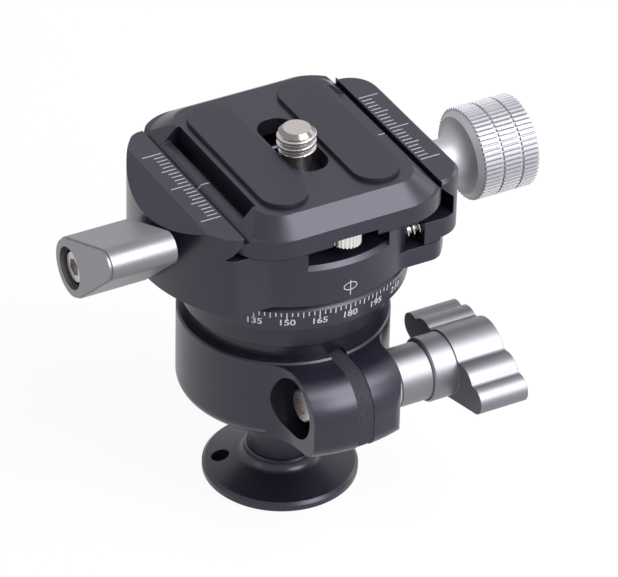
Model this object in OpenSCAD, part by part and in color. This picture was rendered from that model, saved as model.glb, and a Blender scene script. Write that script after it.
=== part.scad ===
// Tripod ball head with a sideways lock knob, a panning clamp on top and a camera plate in the clamp.
// Millimetres. Z is up, the pan axis is the Z axis, and the foot stands on Z = 0.
// X runs along the clamp knob, from the lock lever's side towards the knurled knob. -Y is the slit's side.

/* [Foot] */
// Diameter of the foot flange
foot_d = 25.7; // [23:0.1:34]
// Height of the flange's straight rim
foot_rim_h = 1.2; // [0.9:0.1:1.8]
// Height of the foot under the stem
foot_h = 5.2; // [4.6:0.1:7]
// Diameter of the collar that carries the stem
collar_d = 11.9; // [11.6:0.1:15]
// Height of the collar's straight ring
collar_ring_h = 1; // [0.6:0.1:1.6]
// Bore of the tapped hole for a tripod stud
stud_hole_d = 5.1; // [4.6:0.1:5.6]
// Depth of that hole
stud_hole_depth = 8; // [7:0.5:10]
// Diameter of the grub screw in the flange
grub_d = 3; // [2:0.1:3.4]

/* [Ball and stem] */
// Diameter of the ball
ball_d = 24; // [22:0.1:24.6]
// Height of the ball's centre
ball_h = 25.6; // [24:0.1:29]
// Diameter of the stem
stem_d = 10.8; // [10:0.1:11.6]
// Wall of the ball liner
liner_wall = 1.15; // [0.9:0.05:1.4]
// Wall of the friction cup on the ball's top
cup_wall = 0.8; // [0.6:0.05:0.9]
// Wall of the dished spring plate over the cup
plate_wall = 0.7; // [0.5:0.05:0.8]

/* [Housing] */
// Outer diameter of the housing
housing_d = 34.6; // [33.4:0.1:38]
// Housing below the ball's centre
housing_drop = 7.8; // [7.2:0.1:8.6]
// Housing above the ball's centre
housing_rise = 7.2; // [6.6:0.1:8.4]
// Edge radius at the housing's foot
housing_round = 2.5; // [0.5:0.1:3]
// Reach of the ears from the pan axis
ear_reach = 26.5; // [25.5:0.1:29]
// Left ear's outer face from the slit's middle
ear_left = 8.8; // [8.5:0.1:10.5]
// Right ear's outer face from the slit's middle
ear_right = 7.6; // [7:0.1:9]
// Width of the slit
slit_w = 2.8; // [1.6:0.1:3.4]
// Distance of the slit's middle from the pan axis
slit_shift = 0.85; // [0:0.05:1.2]
// Concave radius where the ears leave the housing
ear_root_r = 6; // [4:0.1:8]
// Corner radius of the right ear
ear_corner_r = 2.8; // [1.5:0.1:3.4]

/* [Ball lock] */
// Distance of the lock spindle in front of the pan axis
lock_reach = 18.5; // [18:0.1:19.5]
// Height of the lock spindle above the ball's centre
lock_rise = 0.6; // [0:0.1:1.5]
// Diameter of the lock spindle
spindle_d = 5; // [4:0.1:5.6]
// Diameter of the left ear's counterbore
ear_bore_d = 10.3; // [9:0.1:11]
// Depth of the left ear's counterbore
ear_bore_depth = 3.8; // [3:0.1:4.6]
// Diameter of the lock knob's sleeve
sleeve_d = 9.6; // [8.6:0.1:10.2]
// Length of the sleeve
sleeve_len = 5.8; // [4:0.1:8]
// Diameter of the lock knob's collar
knob_collar_d = 10.7; // [9.6:0.1:11.6]
// Length of the collar
knob_collar_len = 4.3; // [3:0.1:6]
// Length of the wing grip along the spindle
wing_len = 8.6; // [6:0.1:11]
// Half span of the wing grip
wing_reach = 12.5; // [11:0.1:14]
// Angle of the wing grip at rest, in degrees
wing_turn = 5; // [-20:1:20]

/* [Pan base] */
// Diameter of the neck ring
neck_d = 33.4; // [31:0.1:34]
// Height of the neck ring
neck_h = 5.6; // [5:0.1:6.6]
// Height of the groove under the neck ring
groove_h = 2.6; // [2.2:0.1:3.4]
// Depth of that groove
groove_depth = 1.1; // [0.5:0.1:1.6]
// Diameter of the degree dial
dial_d = 40.3; // [38:0.1:41]
// Height of the degree dial
dial_h = 4.3; // [4:0.1:5.4]
// Bevel on the dial's top edge
dial_bevel = 0.7; // [0.3:0.1:1]
// Gap between dial and clamp
pan_gap = 0.7; // [0.5:0.1:1.2]
// Diameter of the pan post
post_d = 10; // [9:0.1:10.6]

/* [Clamp] */
// Diameter of the clamp's round middle
clamp_d = 41.2; // [40:0.1:43]
// Radius of the clamp's two wings
wing_r = 25.2; // [24.8:0.1:26.5]
// Width of the jaws along the dovetail
jaw_w = 34.4; // [33:0.1:36]
// Distance of the dovetail's middle from the pan axis
dovetail_shift = 0.85; // [0:0.05:1.2]
// Height of the clamp's bed over its underside
bed_h = 10.5; // [10.2:0.1:12]
// Height of the jaws over the bed
jaw_h = 3.9; // [3.8:0.05:4.2]
// Gap between the jaws' top edges
jaw_gap = 35; // [34.6:0.1:35.2]
// Width of the fixed jaw's flat top
fixed_top_w = 4.5; // [3.6:0.1:5.5]
// Slope of the fixed jaw's outer side, in degrees
fixed_slope = 35; // [25:1:45]
// Width of the moving jaw's flat top
moving_top_w = 5.15; // [5:0.05:6]
// Corner radius of the moving jaw
moving_corner_r = 5; // [2:0.1:5.2]
// Thickness of the floor under the moving jaw
floor_h = 3.2; // [2.8:0.1:4]
// Half width of the clamp's block on the moving jaw's side
block_reach = 11.9; // [11.6:0.1:12.4]
// Gap between the block and the closed moving jaw
jaw_space = 2.9; // [2.4:0.1:3.4]
// Travel of the moving jaw
jaw_travel = 3.5; // [2:0.1:3.8]
// Distance between the two guide pins
pin_span = 29; // [27:0.5:29]
// Diameter of the guide pins
pin_d = 1.9; // [1.5:0.1:2]

/* [Jaw springs] */
// Diameter of the springs' wire
wire_d = 0.45; // [0.4:0.05:0.5]
// Mean diameter of the springs
spring_d = 2.6; // [2.5:0.05:2.8]
// Number of curls of each spring
spring_curls = 5; // [4:1:5]

/* [Clamp knob] */
// Diameter of the clamp screw
screw_d = 5; // [4:0.1:5.4]
// Diameter of the knob's neck
knob_neck_d = 7; // [6.4:0.1:8]
// Length of the knob's neck
knob_neck_len = 4.6; // [2:0.1:6]
// Length of the flare behind the grip
flare_len = 3.8; // [2.5:0.1:5]
// Diameter of the knurled grip
grip_d = 15.4; // [14:0.1:18]
// Length of the knurled grip
grip_len = 10.2; // [8:0.1:14]
// Number of knurls round the grip
grip_teeth = 58; // [24:2:72]
// Depth of the knurls
grip_depth = 0.4; // [0.2:0.05:0.6]

/* [Pan lock lever] */
// Radius of the lever's hub
lever_hub_r = 5; // [4.6:0.1:6]
// Radius of the lever's tip
lever_tip_r = 2.6; // [2:0.1:3.2]
// Distance from hub to tip
lever_len = 13.8; // [10:0.1:16]
// Width of the lever along its axis
lever_w = 11.6; // [8:0.1:13]
// Gap between lever and clamp
lever_gap = 1.35; // [1:0.05:3]
// Angle of the lever over the horizontal at rest
lever_tilt = 33; // [0:1:60]
// Diameter of the counterbore in the lever's end
lever_bore_d = 7.1; // [6.5:0.1:8]

/* [Camera plate] */
// Width of the plate's dovetail
plate_w = 38; // [37.8:0.05:38]
// Length of the plate
plate_len = 41.6; // [40:0.1:50]
// Distance of the plate's middle in front of the pan axis
plate_shift = 0.4; // [0:0.1:1]
// Height of the dovetail's lower edge
plate_edge_h = 1.3; // [1.2:0.05:1.35]
// Height of the deck over the plate's underside
deck_h = 6.35; // [6:0.05:7]
// Width of the deck
deck_w = 26.8; // [26:0.1:27.4]
// Corner radius of the plate's front
plate_corner_r = 9; // [6:0.1:10]
// Corner radius of the plate's rear
plate_rear_r = 8; // [5:0.1:8.4]
// Length of the deck's flat top
deck_len = 34.4; // [32:0.1:37]
// Width of the camera screw's slot
slot_w = 6.5; // [6.45:0.05:6.8]
// Length of the slot
slot_len = 16.5; // [12:0.1:18]
// Height of the rubber pads over the deck
pad_h = 0.65; // [0.4:0.05:1.2]
// Width of each rubber pad
pad_w = 8; // [7.8:0.1:8.6]
// Length of the rubber pads
pad_len = 31.2; // [28:0.1:33]

/* [Camera screw] */
// Outer diameter of the camera screw's thread
thread_d = 6.35; // [6.2:0.05:6.4]
// Length of the thread
thread_len = 3.6; // [3:0.1:5]
// Diameter of the screw's shank
shank_d = 4.8; // [4.2:0.1:5]
// Diameter of the screw's head
head_d = 9.2; // [8:0.1:9.6]
// Distance of the screw from the plate's middle
screw_shift = 1.2; // [0:0.1:2.4]
// Wire diameter of the folding ring
ring_wire_d = 1.4; // [1:0.1:1.6]
// Diameter of the knurled stop screws
stop_d = 4.7; // [4.4:0.1:5.2]
// Height of the stop screws' heads
stop_h = 2.5; // [2:0.1:3]

/* [Hidden] */

$fn = 96;

// Overrun of every cut past the face it opens
over = 1;
// Radial clearance of running fits
run = 0.05;
// Edge chamfer on turned parts
edge = 0.3;
// Steps of a curved profile
steps = 10;

// Anodised and plain metals, rubber and nylon
black_metal = [0.24, 0.24, 0.27];
dark_metal = [0.13, 0.13, 0.16];
silver_metal = [0.74, 0.74, 0.76];
steel_metal = [0.62, 0.61, 0.6];
rubber_grey = [0.26, 0.26, 0.28];
nylon_white = [0.9, 0.9, 0.87];

// Foot
foot_r = foot_d / 2;
collar_r = collar_d / 2;
stem_r = stem_d / 2;
insert_wall = 1.4;
insert_r = stud_hole_d / 2 + insert_wall;
grub_angle = 155;
grub_inset = 3;
grub_h = 1;
rim_edge = 0.5;
foot_slope = 15;
collar_fillet = 1.7;
round_bite = 0.02;
grub_place = [(foot_r - grub_inset) * cos(grub_angle), (foot_r - grub_inset) * sin(grub_angle)];
hex_share = 0.56;

// Ball, its cup and its cavity
ball_r = ball_d / 2;
liner_r = ball_r + run;
cavity_r = liner_r + liner_wall;
cup_in_r = ball_r + run;
cup_out_r = cup_in_r + cup_wall;
plate_in_r = cup_out_r + run;
plate_out_r = plate_in_r + plate_wall;
roof_r = plate_out_r + run;
cup_angle = 34;
plate_angle = 30;
liner_low = 0.3;
liner_high = 1.9;
spigot_h = 3.3;
spigot_wall = 1.5;
spigot_r = cavity_r + spigot_wall;

// Housing
housing_r = housing_d / 2;
housing_z = ball_h - housing_drop;
housing_top = ball_h + housing_rise;
lock_z = ball_h + lock_rise;
ear_top_drop = 0.3;
ear_top = housing_top - ear_top_drop;
ear_round = 6.3;
ear_low_round = 3.3;
ear_low_rise = 1.7;
ear_bore_back = 4.3;
ear_bore_back_r = 7;
strip_inset = 0.1;
strip_back = 14.8;
lock_washer_h = 0.6;
washer_lip = 0.2;

// Ball lock
spindle_r = spindle_d / 2;
end_gap = 0.3;
end_washer_h = 0.5;
end_washer_d = 7.6;
end_head_d = 5.6;
end_head_h = 1.8;
end_thread_d = 3;
end_thread_len = 4;
ear_left_x = slit_shift - ear_left;
ear_right_x = slit_shift + ear_right;
bore_floor_x = ear_left_x + ear_bore_depth;
spindle_x = bore_floor_x - end_gap;
sleeve_x = ear_right_x + lock_washer_h;
collar_x = sleeve_x + sleeve_len;
wing_x = collar_x + knob_collar_len;
wing_hub_share = 0.45;
wing_tip_r_share = 0.184;
wing_lobe_share = [0.504, 0.04];
wing_lobe_r_share = 0.264;
wing_scallop_share = 0.08;
web_bite = 0.04;
wing_hub_r = wing_reach * wing_hub_share;
wing_tip_r = wing_reach * wing_tip_r_share;
wing_tip = [wing_reach - wing_tip_r, 0];
wing_lobe = wing_reach * wing_lobe_share;
wing_lobe_r = wing_reach * wing_lobe_r_share;
wing_scallop_r = wing_reach * wing_scallop_share;
spindle_grip = 4;

// Pan base
neck_r = neck_d / 2;
groove_r = neck_r - groove_depth;
neck_z = housing_top + groove_h;
dial_z = neck_z + neck_h;
dial_r = dial_d / 2;
dial_draft = 0.35;
dial_top = dial_z + dial_h;
clamp_z = dial_top + pan_gap;
post_r = post_d / 2;
post_flange_r = 9;
post_flange_h = 1.2;
post_stub_r = 3;
post_stub_h = 1.2;
pan_washer_in_r = 10.5;
pan_washer_out_r = 17;

// Clamp
clamp_r = clamp_d / 2;
jaw_half = jaw_w / 2;
floor_z = clamp_z + floor_h;
bed_z = clamp_z + bed_h;
jaw_top = bed_z + jaw_h;
lip_x = jaw_gap / 2;
lip_z = bed_z + plate_edge_h + plate_w / 2 - lip_x;
fit_gap = 0.05;
groove_x = plate_w / 2 + plate_edge_h - fit_gap;
screw_rise = 5.5;
screw_z = clamp_z + screw_rise;
screw_r = screw_d / 2;
root_fillet_r = 4;
wing_corner_r = 3;
floor_inset = 1;
retainer_rise = 7.3;
retainer_z = clamp_z + retainer_rise;
retainer_r = 6.8;
retainer_h = 1;
pan_head_r = 3.4;
pan_head_h = 1.2;
pan_thread_r = 2;
pan_thread_len = 6;
swing_r = 11;
swing_depth = 1.9;
pocket_half = 7.4;
pocket_depth = 3.3;
pocket_stop = 2.9;
pocket_lip = 0.7;

// Moving jaw and its guides
block_x = jaw_space + block_reach;
moving_x = lip_x + moving_top_w;
moving_low = 0.2;
moving_z = floor_z + moving_low;
ledge_drop = 3.1;
ledge_z = bed_z - ledge_drop;
ledge_floor = 0.1;
moving_edge = 0.6;
pin_r = pin_d / 2;
pin_rise = 5.3;
pin_z = clamp_z + pin_rise;
pin_root = 6;
pin_tip = 6;
pin_end_gap = 0.3;
spring_pocket = 3;
spring_pocket_r = 1.85;

// Clamp screw and knob
screw_tip_x = 6.4;
screw_end_gap = 0.1;
knob_washer_h = 0.6;
knob_washer_r = 4.4;
knob_x = moving_x + knob_washer_h;
flare_x = knob_x + knob_neck_len;
grip_x = flare_x + flare_len;
grip_r = grip_d / 2;
flare_inset = 1.3;
flare_r = grip_r - flare_inset;
flare_bevel = 0.9;
grip_band_gap = 0.4;
grip_bands = 3;
screw_grip = 8;
tooth_shares = [0, 0.5, 0.68, 0.82];

// Lever
lever_x = -(wing_r + lever_gap + lever_w);
lever_rise = 5.1;
lever_z = clamp_z + lever_rise;
stud_r = 2;
lever_bore_depth = 2.5;
lever_ring_wall = 0.6;
lever_head_d = 5.5;
lever_head_h = 1.7;
shoe_r = 2;
shoe_len = 4;
shoe_gap = 0.1;
lever_edge = 0.5;

// Camera plate
plate_half = plate_w / 2;
deck_z = bed_z + deck_h;
deck_half = deck_w / 2;
rim_w = 1.5;
rim_x = deck_half + rim_w;
side_pocket_rise = 2;
side_pocket_z = bed_z + side_pocket_rise;
deck_corner_r = 4.4;
deck_corner_out = 0.6;
deck_corner_x = deck_half + deck_corner_out - deck_corner_r;
deck_corner_y = deck_len / 2 - deck_corner_r;
end_chamfer = 0.7;
recess_half = 9;
recess_h = 3.5;
pad_corner_r = 3.9;
pad_x = 4.15;
pad_seat = 0.35;

// Camera screw
shank_r = shank_d / 2;
thread_r = thread_d / 2;
thread_rise = 0.35;
thread_z = deck_z + thread_rise;
thread_top = thread_z + thread_len;
thread_bevel = 0.9;
head_rise = 0.6;
head_z = bed_z + head_rise;
head_h = 2.2;
clip_r = 4.3;
clip_gap = 0.05;
ring_z = head_z + head_h / 2;
ring_wire_r = ring_wire_d / 2;
ring_half = 5.6;
ring_arm = 2.2;
ring_tuck = 0.8;
ring_hole_r = ring_wire_r + run;
stop_y = 17.9;
stop_rise = 1.4;
stop_recess_r = 4.9;
stop_recess_h = 1.5;
stop_shank_r = 1.5;
stop_shank_h = 3.4;
stop_teeth = 24;
stop_depth = 0.25;

// A point at an angle on a circle
function polar(r, a) = [r * cos(a), r * sin(a)];

// Centre of a circle that touches two circles from outside, on the left of the line from p to q
function kiss(p, rp, q, rq, rf) =
    let (d = norm(q - p),
         u = (q - p) / d,
         n = [-u.y, u.x],
         a = ((rp + rf) ^ 2 - (rq + rf) ^ 2 + d ^ 2) / (2 * d),
         h = sqrt((rp + rf) ^ 2 - a ^ 2))
    p + a * u + h * n;

// Stands its children, drawn in a plane, along X: local x is Y and local y is Z
module along_x(x) translate([x, 0, 0]) rotate([90, 0, 90]) children();

// Ring of a given inner and outer radius
module ring(r_in, r_out, h) {
    difference() {
        cylinder(r = r_out, h = h);
        translate([0, 0, -over]) cylinder(r = r_in, h = h + 2 * over);
    }
}

// Places of the pieces that belong to the dovetail, to the plate in it and to its camera screw
module at_dovetail() translate([dovetail_shift, 0, 0]) children();

module at_plate() translate([dovetail_shift, -plate_shift, 0]) children();

module at_screw() at_plate() translate([0, -screw_shift, 0]) children();

// Round bar with a chamfer at one or both ends
module bar(r, h, low = 0, high = 0) {
    rotate_extrude()
        polygon([[0, 0], [r - low, 0], [r, low], [r, h - high], [r - high, h], [0, h]]);
}

// Concave web between two round bars
module web(p, rp, q, rq, rf, h) {
    c = kiss(p, rp, q, rq, rf);
    difference() {
        linear_extrude(h) polygon([p, q, c]);
        translate([c.x, c.y, -over]) cylinder(r = rf + web_bite, h = h + 2 * over);
    }
}

// Cylinder with straight teeth
module knurled(r, depth, teeth, h) {
    step = 360 / teeth;
    linear_extrude(h)
        polygon([for (i = [0 : teeth - 1]) for (k = [0 : len(tooth_shares) - 1])
            polar(k < 2 ? r : r - depth, (i + tooth_shares[k]) * step)]);
}

// Spherical shell round the ball's centre, as a cap up to an angle from the top
module cap_shell(r_in, r_out, angle) {
    translate([0, 0, ball_h]) rotate_extrude()
        polygon(concat([for (i = [0 : steps]) let (a = angle * i / steps) [r_in * sin(a), r_in * cos(a)]],
                       [for (i = [steps : -1 : 0]) let (a = angle * i / steps) [r_out * sin(a), r_out * cos(a)]]));
}

// Socket screw: the head from z = 0 down, its socket in the top, and a thread below
module socket_screw(head_d, head_h, thread_r, thread_len) {
    socket_d = head_d * hex_share;
    difference() {
        union() {
            translate([0, 0, -head_h]) bar(head_d / 2, head_h, 0, edge);
            translate([0, 0, -head_h - thread_len]) cylinder(r = thread_r, h = thread_len);
        }
        translate([0, 0, -head_h * hex_share]) cylinder(d = socket_d, h = head_h + over, $fn = 6);
    }
}

// Half section of the foot: rim, sloping top, and a concave fillet at the collar's foot
module foot_section() {
    slope_r = foot_r - rim_edge;
    slope_z = foot_rim_h + rim_edge;
    fillet_x = collar_r + collar_fillet;
    fillet_z = slope_z + (slope_r - fillet_x) * tan(foot_slope) + collar_fillet / cos(foot_slope);
    touch = [fillet_x - collar_fillet * sin(foot_slope), fillet_z - collar_fillet * cos(foot_slope)];
    difference() {
        polygon([[0, 0], [foot_r - edge, 0], [foot_r, edge], [foot_r, foot_rim_h], [slope_r, slope_z], touch,
                 [collar_r, fillet_z], [collar_r, foot_h - edge], [collar_r - edge, foot_h], [0, foot_h]]);
        translate([fillet_x, fillet_z]) circle(r = collar_fillet + round_bite);
    }
}

module foot_flange() {
    color(black_metal) difference() {
        rotate_extrude() foot_section();
        translate([0, 0, -over]) cylinder(r = insert_r, h = foot_h + 2 * over);
        translate([grub_place.x, grub_place.y, -over]) cylinder(d = grub_d, h = foot_h);
    }
}

module foot_thread_insert() {
    color(steel_metal) ring(stud_hole_d / 2, insert_r, stud_hole_depth);
}

module foot_grub_screw() {
    color(steel_metal) translate([grub_place.x, grub_place.y, 0]) difference() {
        cylinder(d = grub_d, h = grub_h);
        translate([0, 0, grub_h / 2]) cylinder(d = grub_d * hex_share, h = grub_h, $fn = 6);
    }
}

module ball_stem() {
    color(black_metal) difference() {
        union() {
            translate([0, 0, ball_h]) sphere(r = ball_r);
            translate([0, 0, foot_h]) cylinder(r = stem_r, h = ball_h - foot_h);
        }
        translate([0, 0, foot_h - over]) cylinder(r = insert_r, h = stud_hole_depth - foot_h + over);
    }
}

module friction_cup() {
    color(nylon_white) cap_shell(cup_in_r, cup_out_r, cup_angle);
}

module spring_plate() {
    color(steel_metal) cap_shell(plate_in_r, plate_out_r, plate_angle);
}

// Solid of revolution that gives the ears their front and their rounded top and bottom
module ear_envelope(inset) {
    r = ear_reach - inset;
    top = ear_top - inset;
    low = housing_z + inset;
    low_r = r - ear_low_round;
    low_z = low + ear_low_rise;
    rotate_extrude() union() {
        polygon([[0, low], [housing_r - housing_round, low], [low_r, low_z], [r, low_z + ear_low_round],
                 [r, top - ear_round], [r - ear_round, top], [0, top]]);
        translate([low_r, low_z + ear_low_round]) circle(r = ear_low_round);
        translate([r - ear_round, top - ear_round]) circle(r = ear_round);
    }
}

// Centre of the concave fillet where an ear's face at x leaves the housing, on the side given
function ear_root(x, side) =
    let (cx = x + side * ear_root_r) [cx, -sqrt((housing_r + ear_root_r) ^ 2 - cx ^ 2)];

// The two ears before the slit, with concave fillets to the housing
module ear_block() {
    h = housing_rise + housing_drop;
    left = ear_root(ear_left_x, -1);
    right = ear_root(ear_right_x, 1);
    front = -ear_reach - over;
    corner_x = ear_right_x - ear_corner_r;
    corner = [corner_x, -sqrt((ear_reach - ear_corner_r) ^ 2 - corner_x ^ 2)];
    touch = corner * ear_reach / (ear_reach - ear_corner_r);
    translate([0, 0, housing_z]) difference() {
        union() {
            linear_extrude(h)
                polygon([[0, 0], left, [ear_left_x, left.y], [ear_left_x, front], [touch.x, front], touch,
                         [ear_right_x, corner.y], [ear_right_x, right.y], right]);
            translate([corner.x, corner.y, 0]) cylinder(r = ear_corner_r, h = h);
        }
        for (c = [left, right])
            translate([c.x, c.y, -over]) cylinder(r = ear_root_r, h = h + 2 * over);
    }
}

module housing() {
    color(black_metal) difference() {
        union() {
            translate([0, 0, housing_z])
                rotate_extrude() union() {
                    polygon([[0, 0], [housing_r - housing_round, 0], [housing_r, housing_round],
                             [housing_r, housing_rise + housing_drop - edge],
                             [housing_r - edge, housing_rise + housing_drop], [0, housing_rise + housing_drop]]);
                    translate([housing_r - housing_round, housing_round]) circle(r = housing_round);
                }
            intersection() {
                ear_envelope(0);
                ear_block();
            }
        }
        translate([0, 0, ball_h]) sphere(r = cavity_r);
        translate([0, 0, ball_h]) cylinder(r = cavity_r, h = housing_rise + over);
        translate([0, 0, housing_top - spigot_h]) cylinder(r = spigot_r, h = spigot_h + over);
        translate([slit_shift - slit_w / 2, -ear_reach - over, housing_z - over])
            cube([slit_w, ear_reach + over - cavity_r + over, housing_rise + housing_drop + 2 * over]);
        translate([0, -lock_reach, lock_z]) {
            along_x(ear_left_x - over) cylinder(r = spindle_r + run, h = ear_left + ear_right + 2 * over);
            // the counterbore is cut short behind, where the housing curves away from the ear's face
            along_x(ear_left_x - ear_root_r) intersection() {
                cylinder(d = ear_bore_d, h = ear_bore_depth + ear_root_r);
                translate([ear_bore_back - ear_bore_back_r, 0, 0])
                    cylinder(r = ear_bore_back_r, h = ear_bore_depth + ear_root_r);
            }
            along_x(ear_right_x) cylinder(d = sleeve_d + 2 * washer_lip, h = ear_root_r);
        }
    }
}

module ball_liner() {
    low = ball_h - housing_drop + liner_low;
    color(nylon_white) intersection() {
        difference() {
            translate([0, 0, ball_h]) sphere(r = cavity_r);
            translate([0, 0, ball_h]) sphere(r = liner_r);
        }
        translate([0, 0, low]) cylinder(r = housing_r, h = ball_h - low);
    }
}

module slit_strip() {
    color(rubber_grey) difference() {
        intersection() {
            ear_envelope(strip_inset);
            translate([slit_shift - slit_w / 2, -ear_reach - over, housing_z])
                cube([slit_w, ear_reach + over - strip_back, housing_rise + housing_drop]);
        }
        translate([0, -lock_reach, lock_z])
            along_x(slit_shift - slit_w) cylinder(r = spindle_r + run, h = 2 * slit_w);
    }
}

module lock_washer() {
    color(steel_metal) translate([0, -lock_reach, lock_z])
        along_x(ear_right_x) ring(spindle_r + run, sleeve_d / 2, lock_washer_h);
}

module neck_ring() {
    color(dark_metal) difference() {
        translate([0, 0, housing_top]) rotate_extrude()
            polygon([[0, -spigot_h], [spigot_r - run, -spigot_h], [spigot_r - run, 0], [groove_r, 0], [groove_r, groove_h],
                     [neck_r - edge, groove_h], [neck_r, groove_h + edge], [neck_r, groove_h + neck_h],
                     [0, groove_h + neck_h]]);
        translate([0, 0, ball_h]) sphere(r = roof_r);
        translate([0, 0, dial_z - post_stub_h]) cylinder(r = post_stub_r, h = post_stub_h + over);
    }
}

module dial_ring() {
    color(black_metal) translate([0, 0, dial_z]) difference() {
        rotate_extrude()
            polygon([[0, 0], [dial_r - dial_draft, 0], [dial_r, dial_h - dial_bevel],
                     [dial_r - dial_bevel, dial_h], [0, dial_h]]);
        translate([0, 0, -over]) cylinder(r = post_flange_r + run, h = dial_h + 2 * over);
    }
}

module pan_post() {
    color(steel_metal) difference() {
        union() {
            translate([0, 0, dial_z - post_stub_h]) cylinder(r = post_stub_r, h = post_stub_h + edge);
            translate([0, 0, dial_z]) cylinder(r = post_flange_r, h = post_flange_h);
            translate([0, 0, dial_z]) bar(post_r, retainer_z - dial_z, 0, edge);
        }
        translate([0, 0, retainer_z - pan_thread_len]) cylinder(r = pan_thread_r, h = pan_thread_len + over);
    }
}

module pan_washer() {
    color(nylon_white) translate([0, 0, dial_top]) ring(pan_washer_in_r, pan_washer_out_r, pan_gap - run);
}

module pan_retainer() {
    color(steel_metal) translate([0, 0, retainer_z]) ring(pan_thread_r, retainer_r, retainer_h);
}

module pan_screw() {
    color(steel_metal) translate([0, 0, retainer_z + retainer_h + pan_head_h])
        socket_screw(2 * pan_head_r, pan_head_h, pan_thread_r, pan_thread_len + retainer_h - edge);
}

module lock_spindle() {
    color(steel_metal) translate([0, -lock_reach, lock_z]) along_x(spindle_x) difference() {
        cylinder(r = spindle_r, h = wing_x + spindle_grip - spindle_x);
        translate([0, 0, -over]) cylinder(d = end_thread_d, h = end_thread_len + over);
    }
}

module lock_sleeve() {
    color(silver_metal) translate([0, -lock_reach, lock_z]) along_x(sleeve_x) difference() {
        bar(sleeve_d / 2, sleeve_len, edge, 0);
        translate([0, 0, -over]) cylinder(r = spindle_r, h = sleeve_len + 2 * over);
    }
}

// Wing grip: a hub with two tips, scalloped on top by a lobe and two webs, straight underneath.
module wing_grip() {
    a = acos((wing_hub_r - wing_tip_r) / wing_tip.x);
    cylinder(r = wing_hub_r, h = wing_len);
    for (side = [0, 1]) mirror([side, 0, 0]) {
        translate([wing_tip.x, wing_tip.y, 0]) cylinder(r = wing_tip_r, h = wing_len);
        translate([wing_lobe.x, wing_lobe.y, 0]) cylinder(r = wing_lobe_r, h = wing_len);
        linear_extrude(wing_len)
            polygon([[0, 0], polar(wing_hub_r, -a), wing_tip + polar(wing_tip_r, -a), wing_tip, wing_lobe]);
        web([0, 0], wing_hub_r, wing_lobe, wing_lobe_r, wing_scallop_r, wing_len);
        web(wing_lobe, wing_lobe_r, wing_tip, wing_tip_r, wing_scallop_r, wing_len);
    }
}

module lock_knob() {
    color(silver_metal) translate([0, -lock_reach, lock_z]) difference() {
        union() {
            along_x(collar_x) bar(knob_collar_d / 2, knob_collar_len + edge, edge, 0);
            along_x(wing_x) rotate([0, 0, wing_turn]) wing_grip();
        }
        along_x(collar_x - over) cylinder(r = spindle_r, h = knob_collar_len + spindle_grip + over);
    }
}

module lock_end_washer() {
    color(dark_metal) translate([0, -lock_reach, lock_z])
        along_x(spindle_x - end_washer_h) ring(end_thread_d / 2, end_washer_d / 2, end_washer_h);
}

module lock_end_screw() {
    color(silver_metal) translate([0, -lock_reach, lock_z])
        translate([spindle_x - end_washer_h - end_head_h, 0, 0]) rotate([0, -90, 0])
            socket_screw(end_head_d, end_head_h, end_thread_d / 2, end_thread_len + end_washer_h - edge);
}

// One wing of the clamp, with rounded corners, a flat end at a reach and concave fillets to the disc
module clamp_wing(h, reach) {
    corner_y = jaw_half - wing_corner_r;
    corner = [sqrt((wing_r - wing_corner_r) ^ 2 - corner_y ^ 2), corner_y];
    touch = corner * wing_r / (wing_r - wing_corner_r);
    root_y = jaw_half + root_fillet_r;
    root = [sqrt((clamp_r + root_fillet_r) ^ 2 - root_y ^ 2), root_y];
    difference() {
        union() {
            intersection() {
                cylinder(r = wing_r, h = h);
                linear_extrude(h)
                    polygon([[0, 0], [root.x, -root.y], [root.x, -jaw_half], [corner.x, -jaw_half],
                             [touch.x, -touch.y], [reach, -touch.y], [reach, touch.y],
                             touch, [corner.x, jaw_half], [root.x, jaw_half], root]);
            }
            for (side = [-1, 1])
                translate([corner.x, side * corner.y, 0]) cylinder(r = wing_corner_r, h = h);
        }
        for (side = [-1, 1])
            translate([root.x, side * root.y, -over]) cylinder(r = root_fillet_r, h = h + 2 * over);
    }
}

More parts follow.
